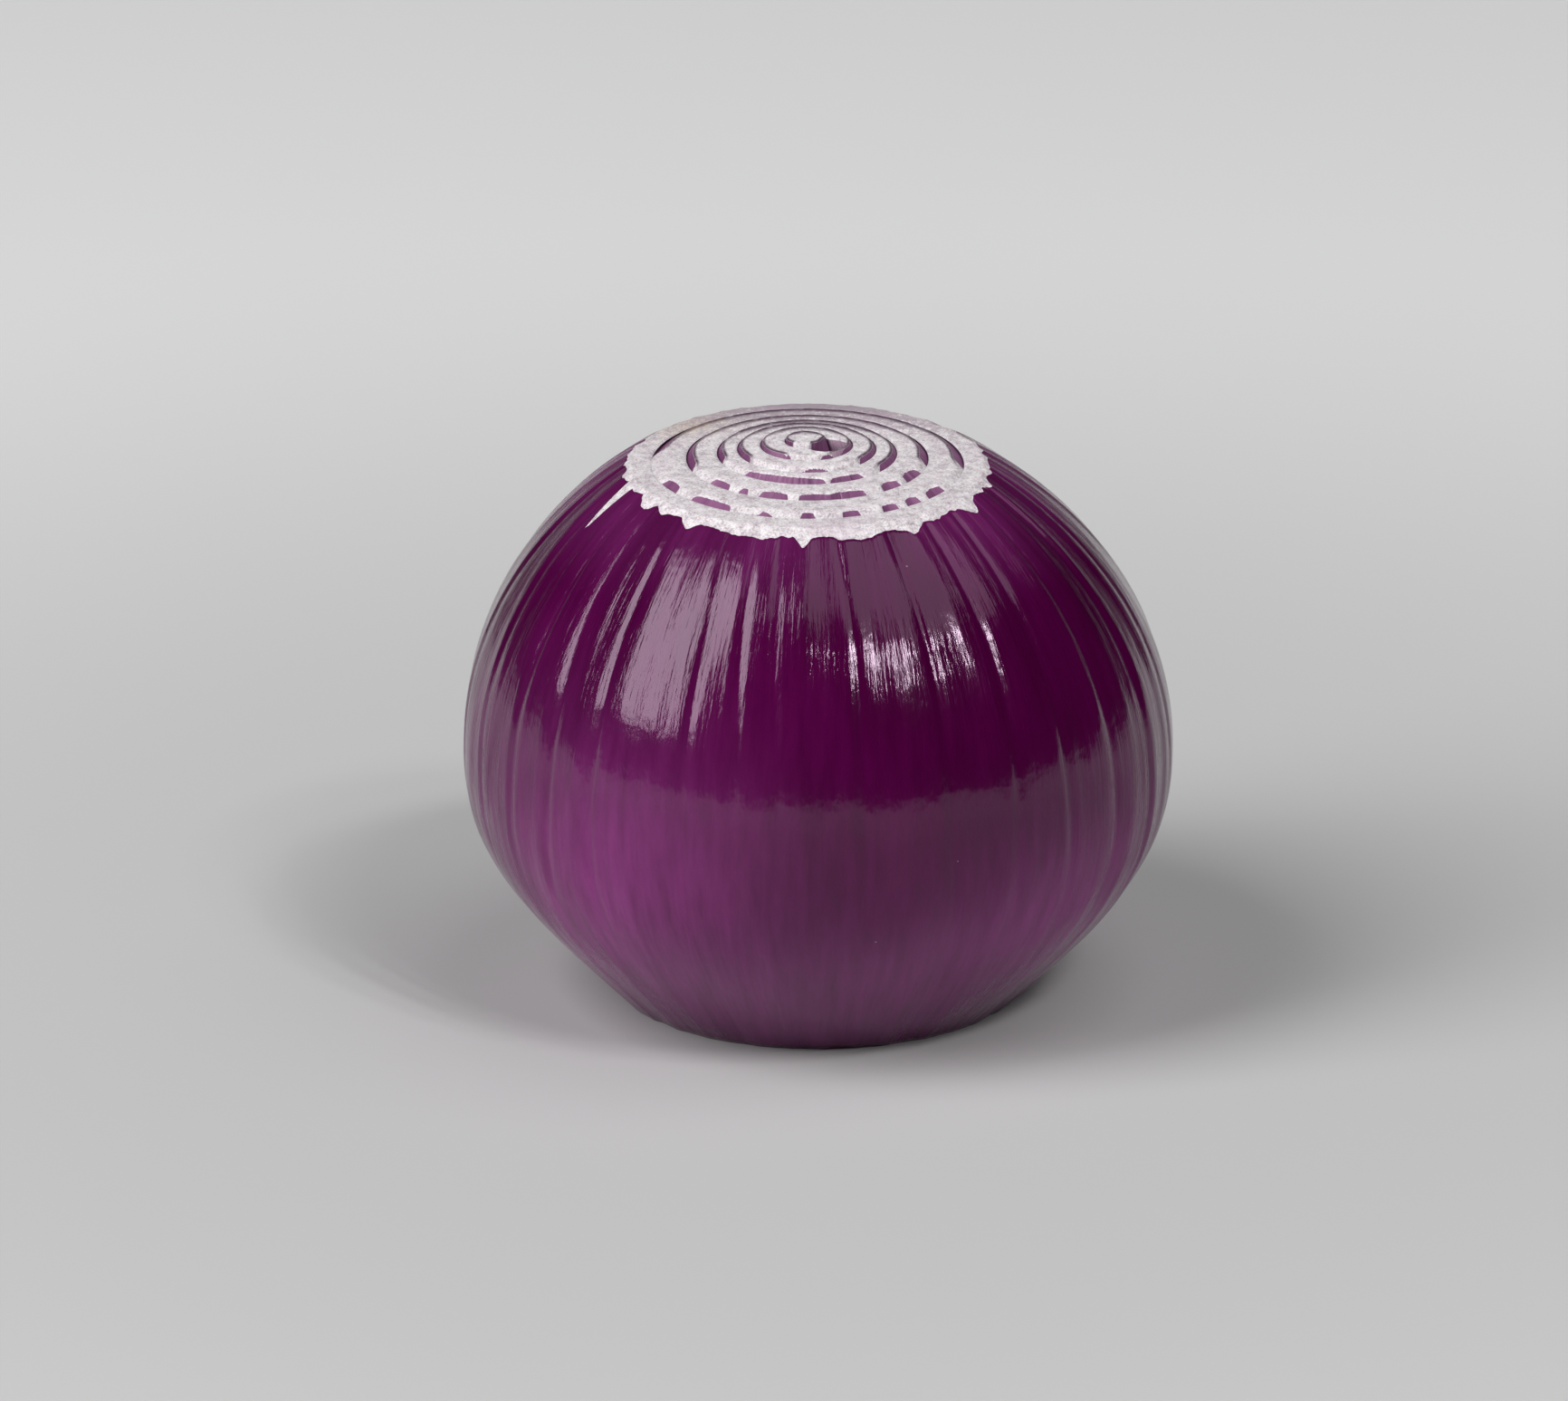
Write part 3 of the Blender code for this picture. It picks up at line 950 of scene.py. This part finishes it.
def make_floor(hole=20.5 * MM, far=6.0, steps=96):
    """A round floor, open under the foot, and seen through from below."""
    turns = [math.tau * step / steps for step in range(steps)]
    circles = [(radius, turn) for radius in (hole, far) for turn in turns]
    points = [(r * math.cos(turn), r * math.sin(turn), -0.01 * MM) for r, turn in circles]
    faces = [(k, k + steps, (k + 1) % steps + steps, (k + 1) % steps) for k in range(steps)]
    mesh = bpy.data.meshes.new("floor")
    mesh.from_pydata(points, [], faces)
    floor = bpy.data.objects.new("floor", mesh)
    bpy.context.scene.collection.objects.link(floor)
    finish, bench = new_finish("floor_paint")
    place = bench.node("ShaderNodeTexCoord", out=3)
    x, y, _ = bench.parts(place)
    away = (x * x + y * y) ** 0.5
    front = y.math("MINIMUM", 0.0)
    aside = (x * x + front * front) ** 0.5
    # Painted shadow and shade: the grey is darker round the onion, a painted shadow at its foot,
    # and darker towards the front and sides, painted shade that the wet skin mirrors.
    colour = bench.mix(away.step(0.05, 0.35), (0.56, 0.56, 0.56, 1), (0.80, 0.80, 0.80, 1))
    colour = bench.mix(aside.step(0.20, 1.40), colour, (0.52, 0.52, 0.52, 1))
    roughness = 0.8 + 0.05 * bench.noise(place, 40.0)
    sockets = {"Base Color": colour, "Roughness": roughness, "Specular IOR Level": 0.1}
    paint = bench.node("ShaderNodeBsdfPrincipled", None, sockets)
    below = bench.node("ShaderNodeNewGeometry", out=6)
    clear = bench.node("ShaderNodeBsdfTransparent")
    shader = bench.node("ShaderNodeMixShader", None, {0: below, 1: paint, 2: clear})
    bench.node("ShaderNodeOutputMaterial", None, {"Surface": shader})
    mesh.materials.append(finish)
    return floor


make_floor()

# %% Lights
FAR = 3.0
MIDDLE = Vector((0, 0, 0.03))


def area_light(name, direction, wide, tall, radiance, shift=(0.0, 0.0)):
    """A soft light. Its angles are in degrees as seen from the onion, and it faces the onion."""
    towards = Vector(direction).normalized()
    sideways = Vector((-towards.y, towards.x, 0)).normalized()
    upwards = towards.cross(sideways)
    data = bpy.data.lights.new(name, "AREA")
    data.shape = "RECTANGLE"
    data.size, data.size_y = (2 * FAR * math.tan(math.radians(angle) / 2) for angle in (wide, tall))
    data.energy = radiance * math.pi * data.size * data.size_y
    light = bpy.data.objects.new(name, data)
    offset = sideways * math.radians(shift[0]) * FAR + upwards * math.radians(shift[1]) * FAR
    light.location = MIDDLE + towards * FAR + offset
    light.rotation_euler = (-towards).to_track_quat("-Z", "Y").to_euler()
    light.visible_camera = False
    bpy.context.scene.collection.objects.link(light)
    return light


area_light("left_window", (-0.673, -0.325, 0.650), 27, 48, 6.6)
area_light("ceiling", (0.37, -0.12, 0.92), 44, 38, 1.3)

# Columns of the right window: (degrees to the right of its middle, width, heights of both panes).
RIGHT_WINDOW, PANE_RADIANCE, PANE_ROWS = (0.41, -0.575, 0.708), 62, (4.2, -3.4)
PANES = (
    (-5.8, 1.0, (4.6, 0.0)),
    (-1.8, 1.3, (5.2, 4.8)),
    (3.2, 2.3, (6.2, 4.6)),
    (7.8, 2.8, (4.4, 1.6)),
)
for column, (right, wide, tall) in enumerate(PANES):
    for line, up in enumerate(PANE_ROWS):
        if tall[line]:
            name = f"right_pane_{column}_{line}"
            area_light(name, RIGHT_WINDOW, wide, tall[line], PANE_RADIANCE, (right, up))

# %% World: pale to the camera, nearly dark to everything else
world = bpy.data.worlds.new("studio")
bpy.context.scene.world = world
world.use_nodes = True
world.node_tree.nodes.clear()
bench = Bench(world.node_tree)
_, behind, above = bench.parts(bench.node("ShaderNodeTexCoord"))
wall = behind.step(0.5, 0.95) * (1 - above.step(0.02, 0.25))
under = (above * -1).step(0.0, 0.1)
lit = (wall * 0.4 + under).math("MINIMUM", 1.0)
shade = bench.mix(lit, (0.006, 0.006, 0.006, 1), (0.8, 0.8, 0.8, 1))
shade = bench.mix(bench.node("ShaderNodeLightPath"), shade, (0.9, 0.9, 0.9, 1))
backdrop = bench.node("ShaderNodeBackground", None, {"Color": shade})
bench.node("ShaderNodeOutputWorld", None, {"Surface": backdrop})

# %% Camera
ELEVATION, DISTANCE = math.radians(18), 0.7
FOCAL, SENSOR = 150.7, 36.0
AIM_RIGHT, AIM_UP = -3.67 * MM, 1.3 * MM

camera = bpy.data.objects.new("camera", bpy.data.cameras.new("camera"))
bpy.context.scene.collection.objects.link(camera)
camera.data.lens = FOCAL
camera.data.sensor_width = SENSOR
camera.location = MIDDLE + DISTANCE * Vector((0, -math.cos(ELEVATION), math.sin(ELEVATION)))
aim = MIDDLE + Vector((AIM_RIGHT, AIM_UP * math.sin(ELEVATION), AIM_UP * math.cos(ELEVATION)))
camera.rotation_euler = (aim - camera.location).to_track_quat("-Z", "Y").to_euler()
bpy.context.scene.camera = camera
bpy.context.scene.view_settings.view_transform = "Standard"
